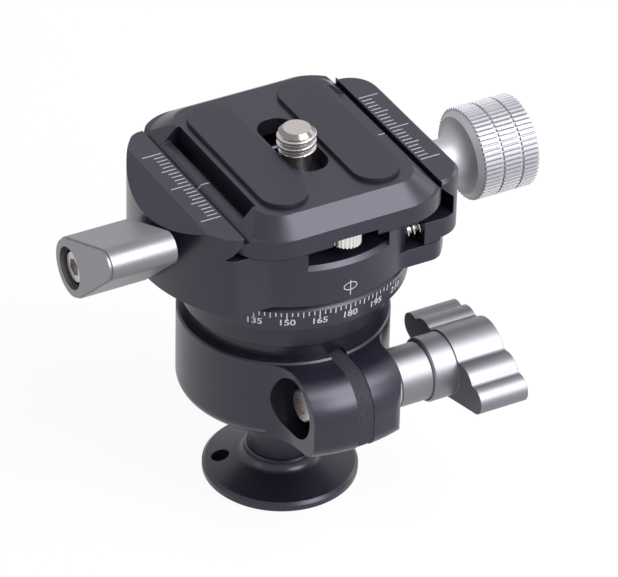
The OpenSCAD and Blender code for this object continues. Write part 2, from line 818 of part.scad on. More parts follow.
module clamp_body() {
    slope_x = lip_x + fixed_top_w;
    pocket_y = stop_y - stop_d / 2 - pocket_stop;
    color(black_metal) difference() {
        union() {
            translate([0, 0, clamp_z]) cylinder(r = clamp_r, h = bed_h);
            translate([0, 0, clamp_z]) mirror([1, 0, 0]) clamp_wing(bed_h + jaw_h, wing_r + over);
            translate([0, 0, clamp_z]) clamp_wing(floor_h, dovetail_shift + moving_x - floor_inset);
        }
        at_dovetail() {
            // channel of the dovetail, open towards the moving jaw
            translate([0, clamp_r + over, 0]) rotate([90, 0, 0]) linear_extrude(2 * (clamp_r + over))
                polygon([[clamp_r + over, bed_z], [-groove_x, bed_z], [-groove_x, bed_z + fit_gap],
                         [-lip_x, lip_z], [-lip_x, jaw_top + over], [clamp_r + over, jaw_top + over]]);
            // space for the moving jaw
            translate([block_reach, -clamp_r - over, floor_z])
                cube([clamp_r, 2 * (clamp_r + over), bed_h]);
            // sloping outer side of the fixed jaw
            translate([-slope_x, 0, jaw_top]) rotate([0, -fixed_slope, 0])
                translate([-2 * wing_r, -wing_r, 0]) cube([2 * wing_r, 2 * wing_r, wing_r]);
            // guide pins and clamp screw
            for (side = [-1, 1])
                translate([0, side * pin_span / 2, pin_z]) along_x(pin_root) cylinder(r = pin_r, h = clamp_r);
            translate([0, 0, screw_z])
                along_x(screw_tip_x - screw_end_gap) cylinder(r = screw_r + run, h = clamp_r);
        }
        // pan bearing and pan lock
        translate([0, 0, clamp_z - over]) cylinder(r = post_r + run, h = bed_h);
        translate([0, 0, retainer_z - run]) cylinder(r = retainer_r + run, h = bed_h);
        translate([0, 0, bed_z - swing_depth]) cylinder(r = swing_r, h = bed_h);
        translate([0, 0, lever_z]) along_x(-wing_r - over) cylinder(r = stud_r + run, h = wing_r + over);
        // pockets for the plate's stop screws, with a bevelled lip
        for (side = [-1, 1]) {
            translate([dovetail_shift - pocket_half, side > 0 ? pocket_y : -clamp_r - over, bed_z - pocket_depth])
                cube([2 * pocket_half, clamp_r + over - pocket_y, pocket_depth + over]);
            intersection() {
                translate([0, 0, bed_z - pocket_depth - pocket_lip])
                    rotate_extrude() polygon([[clamp_r, 0], [clamp_r + over, 0], [clamp_r + over, pocket_lip + over],
                                              [clamp_r - pocket_lip, pocket_lip + over],
                                              [clamp_r - pocket_lip, pocket_lip]]);
                translate([dovetail_shift - pocket_half, side > 0 ? 0 : -clamp_r - over, bed_z - pocket_depth - over])
                    cube([2 * pocket_half, clamp_r + over, pocket_depth]);
            }
        }
    }
}

module guide_pin(side) {
    color(steel_metal) at_dovetail() translate([0, side * pin_span / 2, pin_z])
        along_x(pin_root) bar(pin_r, block_x + pin_tip - pin_root, 0, edge);
}

module guide_pin_front() guide_pin(-1);

module guide_pin_rear() guide_pin(1);

// Centre line of a jaw spring: straight for one wire at each end, with the curls between
rings = 8;
spring_len = jaw_space + spring_pocket - run;
coil_len = spring_len - 2 * wire_d;
spring_path = concat(
    [[0, spring_d / 2, 0]],
    [for (i = [0 : rings * spring_curls]) let (a = 360 * i / rings)
        [wire_d + coil_len * i / (rings * spring_curls), spring_d / 2 * cos(a), spring_d / 2 * sin(a)]],
    [[spring_len, spring_d / 2, 0]]);

function unit(v) = v / norm(v);

function heading(p, i) =
    i == 0 || i == len(p) - 1 ? [1, 0, 0] : unit(unit(p[i + 1] - p[i]) + unit(p[i] - p[i - 1]));

// Least gap of the wire to itself, measured between points at least half a curl apart
spring_gap = min([for (i = [0 : len(spring_path) - 1]) for (j = [i + rings / 2 : 1 : len(spring_path) - 1])
                    norm(spring_path[j] - spring_path[i])]) - wire_d;
echo(str("least gap of the jaw spring's wire to itself, mm: ", spring_gap));

module jaw_spring(side) {
    sides = 6;
    n = len(spring_path);
    points = [for (i = [0 : n - 1])
        let (c = spring_path[i], t = heading(spring_path, i), u = unit([0, c.y, c.z] - t * (t * [0, c.y, c.z])),
             w = cross(t, u))
        for (k = [0 : sides - 1]) let (a = 360 * k / sides)
            c + wire_d / 2 * (cos(a) * u + sin(a) * w)];
    walls = [for (i = [0 : n - 2]) for (k = [0 : sides - 1])
        let (a = i * sides + k, b = i * sides + (k + 1) % sides) each [[a, b, b + sides], [a, b + sides, a + sides]]];
    low_end = [for (k = [1 : sides - 2]) [0, k + 1, k]];
    high_end = [for (k = [1 : sides - 2]) [(n - 1) * sides, (n - 1) * sides + k, (n - 1) * sides + k + 1]];
    color(steel_metal) at_dovetail() translate([block_reach, side * pin_span / 2, pin_z])
        polyhedron(points, [for (f = concat(walls, low_end, high_end)) [f[2], f[1], f[0]]]);
}

module jaw_spring_front() jaw_spring(-1);

module jaw_spring_rear() jaw_spring(1);

// Round outer corners of the moving jaw, chamfered like its long edges
module jaw_corner_bars(x, h) {
    for (side = [-1, 1])
        translate([x, side * (jaw_half - moving_corner_r), 0]) bar(moving_corner_r, h, moving_edge, moving_edge);
}

module moving_jaw() {
    h = jaw_top - moving_z;
    back = moving_x - moving_corner_r;
    groove = groove_x + fit_gap;
    color(black_metal) at_dovetail() difference() {
        intersection() {
            translate([0, jaw_half, 0]) rotate([90, 0, 0]) linear_extrude(jaw_w)
                polygon([[block_x, moving_z], [moving_x, moving_z], [moving_x, jaw_top], [lip_x, jaw_top],
                         [lip_x, lip_z], [groove, lip_z - groove + lip_x], [groove, ledge_z],
                         [block_x, ledge_z]]);
            translate([0, 0, moving_z]) union() {
                jaw_corner_bars(back, h);
                translate([0, -jaw_half, 0]) cube([back, jaw_w, h]);
                translate([0, jaw_half - moving_corner_r, 0]) rotate([90, 0, 0])
                    linear_extrude(jaw_w - 2 * moving_corner_r)
                        polygon([[0, 0], [moving_x - moving_edge, 0], [moving_x, moving_edge],
                                 [moving_x, h - moving_edge], [moving_x - moving_edge, h], [0, h]]);
            }
        }
        for (side = [-1, 1]) translate([0, side * pin_span / 2, pin_z]) {
            along_x(block_x - over) cylinder(r = spring_pocket_r, h = spring_pocket + over);
            along_x(block_x) cylinder(r = pin_r + run, h = pin_tip + pin_end_gap);
        }
        translate([0, 0, screw_z]) along_x(block_x - over) cylinder(r = screw_r + run, h = moving_x);
    }
}

module clamp_screw() {
    color(steel_metal) at_dovetail() translate([0, 0, screw_z])
        along_x(screw_tip_x) bar(screw_r, grip_x + screw_grip - screw_tip_x, edge, 0);
}

module knob_washer() {
    color(steel_metal) at_dovetail() translate([0, 0, screw_z])
        along_x(moving_x) ring(screw_r + run, knob_washer_r, knob_washer_h - run);
}

module clamp_knob() {
    neck_r = knob_neck_d / 2;
    band = (grip_len - (grip_bands - 1) * grip_band_gap) / grip_bands;
    // the flare is an arc that leaves the neck along the axis and ends at the bevel before the grip
    flare_low = [neck_r, knob_neck_len];
    rise = flare_len - flare_bevel;
    run_out = flare_r - neck_r;
    flare_centre = [neck_r + (rise ^ 2 + run_out ^ 2) / (2 * run_out), knob_neck_len];
    color(silver_metal) at_dovetail() translate([0, 0, screw_z]) difference() {
        union() {
            along_x(knob_x) rotate_extrude() difference() {
                polygon([[0, 0], [neck_r, 0], [neck_r, knob_neck_len], [flare_r, knob_neck_len + rise],
                         [grip_r - grip_depth, knob_neck_len + flare_len],
                         [grip_r - grip_depth, knob_neck_len + flare_len + grip_len - grip_depth],
                         [grip_r - 2 * grip_depth, knob_neck_len + flare_len + grip_len],
                         [0, knob_neck_len + flare_len + grip_len]]);
                translate([flare_centre.x, flare_centre.y]) circle(r = norm(flare_low - flare_centre) + round_bite);
            }
            for (i = [0 : grip_bands - 1])
                along_x(grip_x + i * (band + grip_band_gap))
                    knurled(grip_r, grip_depth + run, grip_teeth, i < grip_bands - 1 ? band : band - grip_depth);
        }
        along_x(knob_x - over) cylinder(r = screw_r, h = grip_x - knob_x + screw_grip + over);
    }
}

// The lever's section: a hub and a smaller tip joined by flat flanks
module lever_section(h, inset) {
    hub = lever_hub_r - inset;
    tip = lever_tip_r - inset;
    a = acos((hub - tip) / lever_len);
    cylinder(r = hub, h = h);
    translate([-lever_len, 0, 0]) cylinder(r = tip, h = h);
    linear_extrude(h)
        polygon([polar(hub, 180 - a), [-lever_len, 0] + polar(tip, 180 - a),
                 [-lever_len, 0] + polar(tip, 180 + a), polar(hub, 180 + a)]);
}

module pan_lock_lever() {
    color(silver_metal) translate([0, 0, lever_z]) difference() {
        union() {
            along_x(lever_x) rotate([0, 0, -lever_tilt]) lever_section(lever_edge, lever_edge / 2);
            along_x(lever_x + lever_edge) rotate([0, 0, -lever_tilt]) lever_section(lever_w - lever_edge, 0);
        }
        along_x(lever_x - over) cylinder(d = lever_bore_d, h = lever_bore_depth + over);
        along_x(lever_x - over) cylinder(r = stud_r, h = lever_w + 2 * over);
    }
}

module lever_stud() {
    x = lever_x + lever_bore_depth;
    tip = -post_r - shoe_gap - shoe_len;
    color(steel_metal) translate([0, 0, lever_z]) along_x(x) difference() {
        cylinder(r = stud_r, h = tip - x);
        translate([0, 0, -over]) cylinder(d = end_thread_d, h = end_thread_len + over);
    }
}

module lever_ring() {
    color(dark_metal) translate([0, 0, lever_z])
        along_x(lever_x + lever_bore_depth - lever_head_h)
            ring(lever_bore_d / 2 - lever_ring_wall, lever_bore_d / 2, lever_head_h);
}

module lever_screw() {
    color(silver_metal) translate([0, 0, lever_z])
        translate([lever_x + lever_bore_depth - lever_head_h, 0, 0]) rotate([0, -90, 0])
            socket_screw(lever_head_d, lever_head_h, end_thread_d / 2, end_thread_len - edge);
}

module brake_shoe() {
    color(nylon_white) translate([0, 0, lever_z])
        along_x(-post_r - shoe_gap - shoe_len) cylinder(r = shoe_r, h = shoe_len);
}

// Block with round corners in plan, of one radius in front and one behind, and a chamfer round its foot
module rounded_block(w, l, front_r, rear_r, h, low = 0) {
    for (x = [-1, 1]) {
        translate([x * (w / 2 - front_r), front_r - l / 2, 0]) bar(front_r, h, low);
        translate([x * (w / 2 - rear_r), l / 2 - rear_r, 0]) bar(rear_r, h, low);
    }
    translate([0, l / 2 - rear_r, 0]) rotate([90, 0, 0]) linear_extrude(l - front_r - rear_r)
        polygon([[-w / 2 + low, 0], [w / 2 - low, 0], [w / 2, low], [w / 2, h], [-w / 2, h], [-w / 2, low]]);
    // front half and rear half, each as wide as its corners leave it
    for (part = [[front_r, -l / 2, 0], [rear_r, 0, l / 2]])
        translate([part[0] - w / 2, 0, 0]) rotate([90, 0, 90]) linear_extrude(w - 2 * part[0])
            polygon([[part[1] < 0 ? part[1] + low : 0, 0], [part[2] > 0 ? part[2] - low : 0, 0],
                     [part[2], low], [part[2], h], [part[1], h], [part[1], low]]);
}

// Bar with round ends along Y
module slot_bar(w, l, h) {
    for (side = [-1, 1]) translate([0, side * (l - w) / 2, 0]) cylinder(d = w, h = h);
    translate([-w / 2, -(l - w) / 2, 0]) cube([w, l - w, h]);
}

// Deck over the dovetail: bevelled in front and behind, with conical corners and straight sides between them
module deck_block(lip) {
    low_r = deck_corner_r + (plate_len - deck_len) / 2;
    translate([-deck_corner_x, 0, 0]) rotate([90, 0, 90]) linear_extrude(2 * deck_corner_x)
        polygon([[-plate_len / 2, lip - edge], [plate_len / 2, lip - edge], [plate_len / 2, lip],
                 [deck_len / 2, deck_h], [-deck_len / 2, deck_h], [-plate_len / 2, lip]]);
    translate([-deck_half, -deck_corner_y, lip - edge])
        cube([deck_w, 2 * deck_corner_y, deck_h - lip + edge]);
    for (x = [0, 1]) for (y = [0, 1]) mirror([x, 0, 0]) mirror([0, y, 0])
        translate([deck_corner_x, deck_corner_y, 0]) rotate_extrude(angle = 90)
            polygon([[0, lip - edge], [low_r - edge, lip - edge], [low_r, lip], [deck_corner_r, deck_h], [0, deck_h]]);
}

module camera_plate() {
    lip = jaw_top - bed_z;
    top_x = plate_half - deck_h + plate_edge_h;
    color(black_metal) at_plate() difference() {
        translate([0, 0, bed_z]) intersection() {
            union() {
                rounded_block(plate_w, plate_len, plate_corner_r, plate_rear_r, lip, end_chamfer);
                deck_block(lip);
            }
            // the dovetail's slopes, carried on past the deck's corners
            translate([0, plate_len / 2, 0]) rotate([90, 0, 0]) linear_extrude(plate_len)
                polygon([[-plate_half, 0], [plate_half, 0], [plate_half, plate_edge_h], [top_x, deck_h],
                         [-top_x, deck_h], [-plate_half, plate_edge_h]]);
        }
        // long pockets beside the deck
        for (side = [-1, 1])
            translate([side * (rim_x + deck_half) / 2 - rim_w / 2, -deck_corner_y, side_pocket_z])
                cube([rim_w, 2 * deck_corner_y, deck_h]);
        // slot of the camera screw and the recess under it
        translate([0, 0, bed_z]) slot_bar(slot_w, slot_len, deck_h + over);
        translate([0, 0, bed_z - over])
            slot_bar(2 * recess_half, 2 * recess_half + slot_len - slot_w, recess_h + over);
        // seats of the pads, and the holes and recesses of the stop screws
        for (side = [-1, 1]) {
            translate([0, 0, deck_z - pad_seat]) pad_shape(side, deck_h);
            translate([0, side * stop_y, bed_z - over]) cylinder(r = stop_shank_r, h = stop_shank_h + over);
            translate([0, side * stop_y, bed_z - over]) cylinder(r = stop_recess_r, h = stop_recess_h + over);
        }
    }
}

// One rubber pad in plan
module pad_shape(side, h) {
    translate([side * (pad_x + pad_w / 2), 0, 0]) rounded_block(pad_w, pad_len, pad_corner_r, pad_corner_r, h);
}

module pad(side) {
    color(rubber_grey) at_plate() translate([0, 0, deck_z - pad_seat]) pad_shape(side, pad_seat + pad_h);
}

module pad_left() pad(-1);

module pad_right() pad(1);

module stop_screw(side) {
    color(steel_metal) at_plate() translate([0, side * stop_y, bed_z]) {
        translate([0, 0, stop_rise - stop_h]) knurled(stop_d / 2, stop_depth, stop_teeth, stop_h);
        cylinder(r = stop_shank_r, h = stop_shank_h);
    }
}

module stop_screw_front() stop_screw(-1);

module stop_screw_rear() stop_screw(1);

module camera_screw() {
    color(steel_metal) at_screw() difference() {
        union() {
            translate([0, 0, head_z]) bar(head_d / 2, head_h, edge, edge);
            translate([0, 0, head_z]) cylinder(r = shank_r, h = thread_z - head_z + edge);
            translate([0, 0, thread_z]) bar(thread_r, thread_len, edge, thread_bevel);
        }
        for (side = [0, 180]) rotate([0, 0, side]) translate([0, 0, ring_z])
            along_x(head_d / 2 - ring_tuck - run) cylinder(r = ring_hole_r, h = ring_tuck + over);
    }
}

module screw_clip() {
    z = head_z + head_h + clip_gap;
    color(nylon_white) at_screw() translate([0, 0, z])
        ring(shank_r + run, clip_r, bed_z + recess_h - z - clip_gap);
}

// Folding ring: two ends in the screw's head, two arms and a half round
module d_ring() {
    foot = head_d / 2 - ring_tuck;
    color(steel_metal) at_screw() translate([0, 0, ring_z]) {
        for (side = [-1, 1]) {
            translate([side * (foot + ring_half) / 2, 0, 0]) rotate([0, 90, 0])
                cylinder(r = ring_wire_r, h = ring_half - foot, center = true);
            translate([side * ring_half, 0, 0]) sphere(r = ring_wire_r);
            translate([side * ring_half, 0, 0]) rotate([-90, 0, 0]) cylinder(r = ring_wire_r, h = ring_arm);
        }
        translate([0, ring_arm, 0]) rotate_extrude(angle = 180)
            translate([ring_half, 0]) circle(r = ring_wire_r);
    }
}

foot_flange();
foot_thread_insert();
foot_grub_screw();
ball_stem();
friction_cup();
spring_plate();
housing();
ball_liner();
slit_strip();
lock_washer();
neck_ring();
dial_ring();
pan_post();
pan_washer();
pan_retainer();
pan_screw();
lock_spindle();
lock_sleeve();
lock_knob();
lock_end_washer();
lock_end_screw();
clamp_body();
guide_pin_front();
guide_pin_rear();
jaw_spring_front();
jaw_spring_rear();
moving_jaw();
clamp_screw();
clamp_knob();
knob_washer();
pan_lock_lever();
lever_stud();
lever_screw();
lever_ring();
brake_shoe();
camera_plate();
pad_left();
pad_right();
stop_screw_front();
stop_screw_rear();
screw_clip();
camera_screw();
d_ring();
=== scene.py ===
# Looks of a small tripod ball head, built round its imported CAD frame.
# Metres. Z is up and is the pan axis, +X runs to the knurled clamp knob, -Y is the slit's side.
import math
import bmesh
import bpy
from mathutils import Matrix, Vector


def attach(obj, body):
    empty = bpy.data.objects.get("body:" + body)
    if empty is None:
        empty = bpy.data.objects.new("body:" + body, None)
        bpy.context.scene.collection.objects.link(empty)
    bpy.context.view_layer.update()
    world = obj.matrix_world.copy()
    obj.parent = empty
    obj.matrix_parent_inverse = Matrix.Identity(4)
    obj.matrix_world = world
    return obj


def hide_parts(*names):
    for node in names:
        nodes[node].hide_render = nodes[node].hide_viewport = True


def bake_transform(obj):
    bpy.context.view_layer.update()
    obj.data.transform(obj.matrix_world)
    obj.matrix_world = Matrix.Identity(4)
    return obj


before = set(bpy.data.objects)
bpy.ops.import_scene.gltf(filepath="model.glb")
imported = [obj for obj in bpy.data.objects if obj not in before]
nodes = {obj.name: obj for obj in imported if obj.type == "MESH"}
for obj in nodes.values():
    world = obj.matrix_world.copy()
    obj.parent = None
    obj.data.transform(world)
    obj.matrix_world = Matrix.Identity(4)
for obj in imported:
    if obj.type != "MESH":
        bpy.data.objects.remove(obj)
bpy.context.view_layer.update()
mm = 0.001
print("frame:", len(nodes), "nodes")


# a shader socket that takes part in plain arithmetic
class Wire:
    def __init__(self, paint, socket):
        self.paint = paint
        self.socket = socket

    def math(self, operation, *terms):
        return self.paint.node("ShaderNodeMath", {"operation": operation}, dict(enumerate(terms)))

    def __add__(self, other):
        return self.math("ADD", self, other)

    def __radd__(self, other):
        return self.math("ADD", other, self)

    def __sub__(self, other):
        return self.math("SUBTRACT", self, other)

    def __rsub__(self, other):
        return self.math("SUBTRACT", other, self)

    def __mul__(self, other):
        return self.math("MULTIPLY", self, other)

    def __rmul__(self, other):
        return self.math("MULTIPLY", other, self)


# an edge starts to show, and shows fully, at these cosines between the softened and the true normal
softEdge = {"samples": 6, "starts": 0.995, "full": 0.9}
toolMarks = {"detail": 3.0, "roughness": 0.6}  # of the noise that a lathe's lines come from


# one material with its own tree; every node but plain arithmetic comes from node()
class Paint:
    def __init__(self, name, owner=None):
        self.material = owner or bpy.data.materials.new(name)
        self.material.use_nodes = True
        self.tree = self.material.node_tree
        self.tree.nodes.clear()

    def node(self, kind, settings=None, inputs=None, output=0):
        made = self.tree.nodes.new(kind)
        for key, value in (settings or {}).items():
            setattr(made, key, value)
        for key, value in (inputs or {}).items():
            if isinstance(value, Wire):
                self.tree.links.new(value.socket, made.inputs[key])
            else:
                made.inputs[key].default_value = value
        return Wire(self, made.outputs[output]) if len(made.outputs) else None

    def place(self):
        return self.node("ShaderNodeTexCoord", output="Object")

    def noise(self, where, scale, detail, roughness=0.5):
        return self.node("ShaderNodeTexNoise", None,
                         {"Vector": where, "Scale": scale, "Detail": detail, "Roughness": roughness})

    # a number from 0 to 1 as the input goes from low to high
    def between(self, value, low, high):
        return self.node("ShaderNodeMapRange", {"clamp": True},
                         {"Value": value, "From Min": low, "From Max": high, "To Min": 0.0, "To Max": 1.0})

    # sockets 6 and 7 and output 2 are the Mix node's colours
    def mix(self, factor, first, second):
        return self.node("ShaderNodeMix", {"data_type": "RGBA"}, {0: factor, 6: first, 7: second}, 2)

    def along(self, vector, direction):
        return self.node("ShaderNodeVectorMath", {"operation": "DOT_PRODUCT"},
                         {0: vector, 1: direction}, "Value")

    # fine lines of a lathe round an axis, given as a point and a direction
    def turned(self, where, lathe, pitch):
        centre, axis = lathe
        fromCentre = self.node("ShaderNodeVectorMath", {"operation": "SUBTRACT"}, {0: where, 1: centre})
        axial = self.along(fromCentre, axis)
        across = self.node("ShaderNodeVectorMath", {"operation": "CROSS_PRODUCT"}, {0: fromCentre, 1: axis})
        radius = self.node("ShaderNodeVectorMath", {"operation": "LENGTH"}, {0: across}, "Value")
        flat = self.node("ShaderNodeCombineXYZ", None, {"X": axial * (1 / pitch), "Y": radius * (1 / pitch)})
        return self.noise(flat, 1.0, toolMarks["detail"], toolMarks["roughness"])

    # normal with softened edges, and how much of an edge is near
    def edges(self, radius):
        soft = self.node("ShaderNodeBevel", {"samples": softEdge["samples"]}, {"Radius": radius})
        facing = self.along(soft, self.node("ShaderNodeNewGeometry", output="Normal"))
        return soft, self.between(facing, softEdge["starts"], softEdge["full"])

    def bump(self, height, strength, depth, normal=None):
        inputs = {"Strength": strength, "Distance": depth, "Height": height}
        if normal is not None:
            inputs["Normal"] = normal
        return self.node("ShaderNodeBump", None, inputs)

    def finish(self, shader):
        self.node("ShaderNodeOutputMaterial", None, {"Surface": shader})
        return self.material

    def surface(self, inputs):
        return self.finish(self.node("ShaderNodeBsdfPrincipled", None, inputs))


def asColour(hexCode):
    channels = [int(hexCode[i:i + 2], 16) / 255 for i in (0, 2, 4)]
    return tuple(c / 12.92 if c <= 0.04045 else ((c + 0.055) / 1.055) ** 2.4 for c in channels) + (1.0,)


def scaled(colour, share):
    return tuple(share * c for c in colour[:3]) + (1.0,)


# a colour that clouds make a little darker and lighter
def clouded(paint, cloud, colour, spread):
    return paint.mix(cloud, scaled(colour, 1 - spread), scaled(colour, 1 + spread))


# a roughness that rises and falls with a noise
def wavering(look, noise):
    return look["roughness"] + (noise - 0.5) * look["roughnessSpread"]


# a grain, crossed by the lines of a lathe where the piece is turned
def machined(paint, where, grain, lathe, look):
    if lathe is None:
        return grain
    lines = paint.turned(where, lathe, look["lathePitch"])
    return lines * look["latheShare"] + grain * (1 - look["latheShare"])


# in this and the other finishes a noise is a scale per metre, a detail and a roughness,
# and a bump is a strength and a depth
anodised = {
    "colour": "171723",
    "cloud": (60.0, 3.0),
    "cloudSpread": 0.14,
    # edges turn a little towards this lighter colour: a painted highlight along every edge
    "edgeHighlight": "4a4a54",
    "edgeHighlightShare": 0.15,
    "edge": 0.12 * mm,
    "grain": (1 / (0.1 * mm), 2.0),
    "lathePitch": 0.12 * mm,
    "latheShare": 0.7,
    "bump": (0.16, 0.004 * mm),
    "roughness": 0.32,
    "roughnessSpread": 0.08,
    "specular": 0.58,
    "tint": "efefff",
}


# black anodised aluminium with a painted highlight along its edges; lathe is the axis of a turned part, or
# None for a milled one
def blackAnodised(name, lathe=None, darker=1.0):
    look = anodised
    paint = Paint(name)
    where = paint.place()
    soft, edge = paint.edges(look["edge"])
    cloud = paint.noise(where, *look["cloud"])
    tone = clouded(paint, cloud, scaled(asColour(look["colour"]), darker), look["cloudSpread"])
    height = machined(paint, where, paint.noise(where, *look["grain"]), lathe, look)
    return paint.surface({
        # the lighter colour near edges is a painted highlight
        "Base Color": paint.mix(edge * look["edgeHighlightShare"], tone, asColour(look["edgeHighlight"])),
        "Roughness": wavering(look, cloud),
        "Specular IOR Level": look["specular"],
        "Specular Tint": asColour(look["tint"]),
        "Normal": paint.bump(height, *look["bump"], normal=soft),
    })


silver = {
    "colour": "8e8d93",
    "shade": "7c7b81",
    "cloud": (90.0, 3.0),
    "edge": 0.15 * mm,
    "edgePolish": 0.08,
    "grain": (1 / (0.09 * mm), 2.0, 0.7),
    "grainShare": 0.6,
    "lathePitch": 0.1 * mm,
    "latheShare": 0.6,
    "bump": (0.5, 0.006 * mm),
    "roughness": 0.45,
    "roughnessSpread": 0.1,
}


# bead blasted and clear anodised aluminium
def silverAnodised(name, lathe=None):
    look = silver
    paint = Paint(name)
    where = paint.place()
    soft, edge = paint.edges(look["edge"])
    cloud = paint.noise(where, *look["cloud"])
    speck = paint.noise(where, *look["grain"])
    tone = speck * look["grainShare"] + cloud * (1 - look["grainShare"])
    height = machined(paint, where, speck, lathe, look)
    return paint.surface({
        "Base Color": paint.mix(tone, asColour(look["shade"]), asColour(look["colour"])),
        "Metallic": 1.0,
        "Roughness": wavering(look, cloud) - edge * look["edgePolish"],
        "Normal": paint.bump(height, *look["bump"], normal=soft),
    })


# the knob's aluminium on its fine knurls, with edges left as they are cut
knurled = {
    "colour": "bebcc2",
    "shade": "aaa8ae",
    "lathePitch": 0.1 * mm,
    "bump": (0.2, 0.003 * mm),
    "roughness": 0.62,
    "roughnessSpread": 0.1,
}
steel = {
    "colour": "cdc8c6",
    "shade": "aaa5a3",
    "lathePitch": 0.08 * mm,
    "bump": (0.25, 0.004 * mm),
    "roughness": 0.28,
    "roughnessSpread": 0.12,
}
ringSteel = steel | {"colour": "4c4c54", "shade": "3c3c44", "roughness": 0.3}
stopSteel = steel | {"colour": "f4f2f0", "shade": "dcdad8", "roughness": 0.3}


# bare metal that shows nothing but its lathe's lines
def turnedMetal(name, lathe, look=steel):
    paint = Paint(name)
    lines = paint.turned(paint.place(), lathe, look["lathePitch"])
    return paint.surface({
        "Base Color": paint.mix(lines, asColour(look["shade"]), asColour(look["colour"])),
        "Metallic": 1.0,
        "Roughness": wavering(look, lines),
        "Normal": paint.bump(lines, *look["bump"]),
    })


moulded = {
    "colour": "1f1f28",
    "cloud": (70.0, 2.0),
    "cloudSpread": 0.15,
    "edge": 0.15 * mm,
    "grain": (1 / (0.14 * mm), 3.0, 0.65),
    "bump": (0.3, 0.01 * mm),
    "roughness": 0.52,
    "roughnessSpread": 0.1,
    "specular": 0.5,
}


# smooth moulded rubber of the pads
def padRubber(name):
    look = moulded
    paint = Paint(name)
    where = paint.place()
    soft = paint.edges(look["edge"])[0]
    grain = paint.noise(where, *look["grain"])
    cloud = paint.noise(where, *look["cloud"])
    return paint.surface({
        "Base Color": clouded(paint, cloud, asColour(look["colour"]), look["cloudSpread"]),
        "Roughness": wavering(look, grain),
        "Specular IOR Level": look["specular"],
        "Specular Tint": asColour(anodised["tint"]),
        "Normal": paint.bump(grain, *look["bump"], normal=soft),
    })


flecked = {
    "colour": "282932",
    "fleck": "6a6b74",
    "fleckSize": 0.28 * mm,
    # a fleck comes in over these distances from its cell's middle, and over these levels of the grain
    "fleckReach": (0.3, 0.12),
    "fleckGrain": (0.42, 0.62),
    "fleckShare": 0.8,
    "grain": (1 / (0.16 * mm), 3.0, 0.7),
    "bump": (0.7, 0.03 * mm),
    "roughness": 0.75,
    "roughnessSpread": 0.2,
    "specular": 0.3,
}


# cut rubber with light flecks, as in the slit
def fleckedRubber(name):
    look = flecked
    paint = Paint(name)
    where = paint.place()
    cells = paint.node("ShaderNodeTexVoronoi", None, {"Vector": where, "Scale": 1 / look["fleckSize"]})
    grain = paint.noise(where, *look["grain"])
    spots = paint.between(cells, *look["fleckReach"]) * paint.between(grain, *look["fleckGrain"])
    spots = spots * look["fleckShare"]
    return paint.surface({
        "Base Color": paint.mix(spots, asColour(look["colour"]), asColour(look["fleck"])),
        "Roughness": wavering(look, grain),
        "Specular IOR Level": look["specular"],
        "Normal": paint.bump(grain, *look["bump"]),
    })


nylonLook = {
    "colour": "e8e6de",
    "shade": "d6d4cb",
    "lathePitch": 0.15 * mm,
    "bump": (0.2, 0.01 * mm),
    "roughness": 0.45,
    "roughnessSpread": 0.1,
}


# turned nylon of the inner pieces
def nylon(name, lathe):
    look = nylonLook
    paint = Paint(name)
    lines = paint.turned(paint.place(), lathe, look["lathePitch"])
    return paint.surface({
        "Base Color": paint.mix(lines, asColour(look["shade"]), asColour(look["colour"])),
        "Roughness": wavering(look, lines),
        "Normal": paint.bump(lines, *look["bump"]),
    })


markLook = {
    "colour": "bcbcc4",
    "shade": "8e8e98",
    "grain": (1 / (0.09 * mm), 2.0, 0.7),
    "roughness": 0.55,
    "roughnessSpread": 0.2,
}


# pale paint in the engraved marks, a little uneven as a laser leaves it
def markPaint(name):
    look = markLook
    paint = Paint(name)
    grain = paint.noise(paint.place(), *look["grain"])
    return paint.surface({
        "Base Color": paint.mix(grain, asColour(look["shade"]), asColour(look["colour"])),
        "Roughness": wavering(look, grain),
    })


dovetailX = 0.85 * mm  # the dovetail's middle, a little off the pan axis
pinY = 14.5 * mm
pinHeight = 51.3 * mm
axisX = (1.0, 0.0, 0.0)
axisZ = (0.0, 0.0, 1.0)
# a point on the axis of each turned piece, and its direction
axes = {
    "pan": ((0.0, 0.0, 0.0), axisZ),
    "lock": ((0.0, -18.5 * mm, 26.2 * mm), axisX),
    "clampScrew": ((dovetailX, 0.0, 51.5 * mm), axisX),
    "lever": ((0.0, 0.0, 51.1 * mm), axisX),
    "frontPin": ((0.0, -pinY, pinHeight), axisX),
    "rearPin": ((0.0, pinY, pinHeight), axisX),
    "cameraScrew": ((dovetailX, -1.6 * mm, 0.0), axisZ),
    "frontStop": ((dovetailX, -18.3 * mm, 0.0), axisZ),
    "rearStop": ((dovetailX, 17.5 * mm, 0.0), axisZ),
}

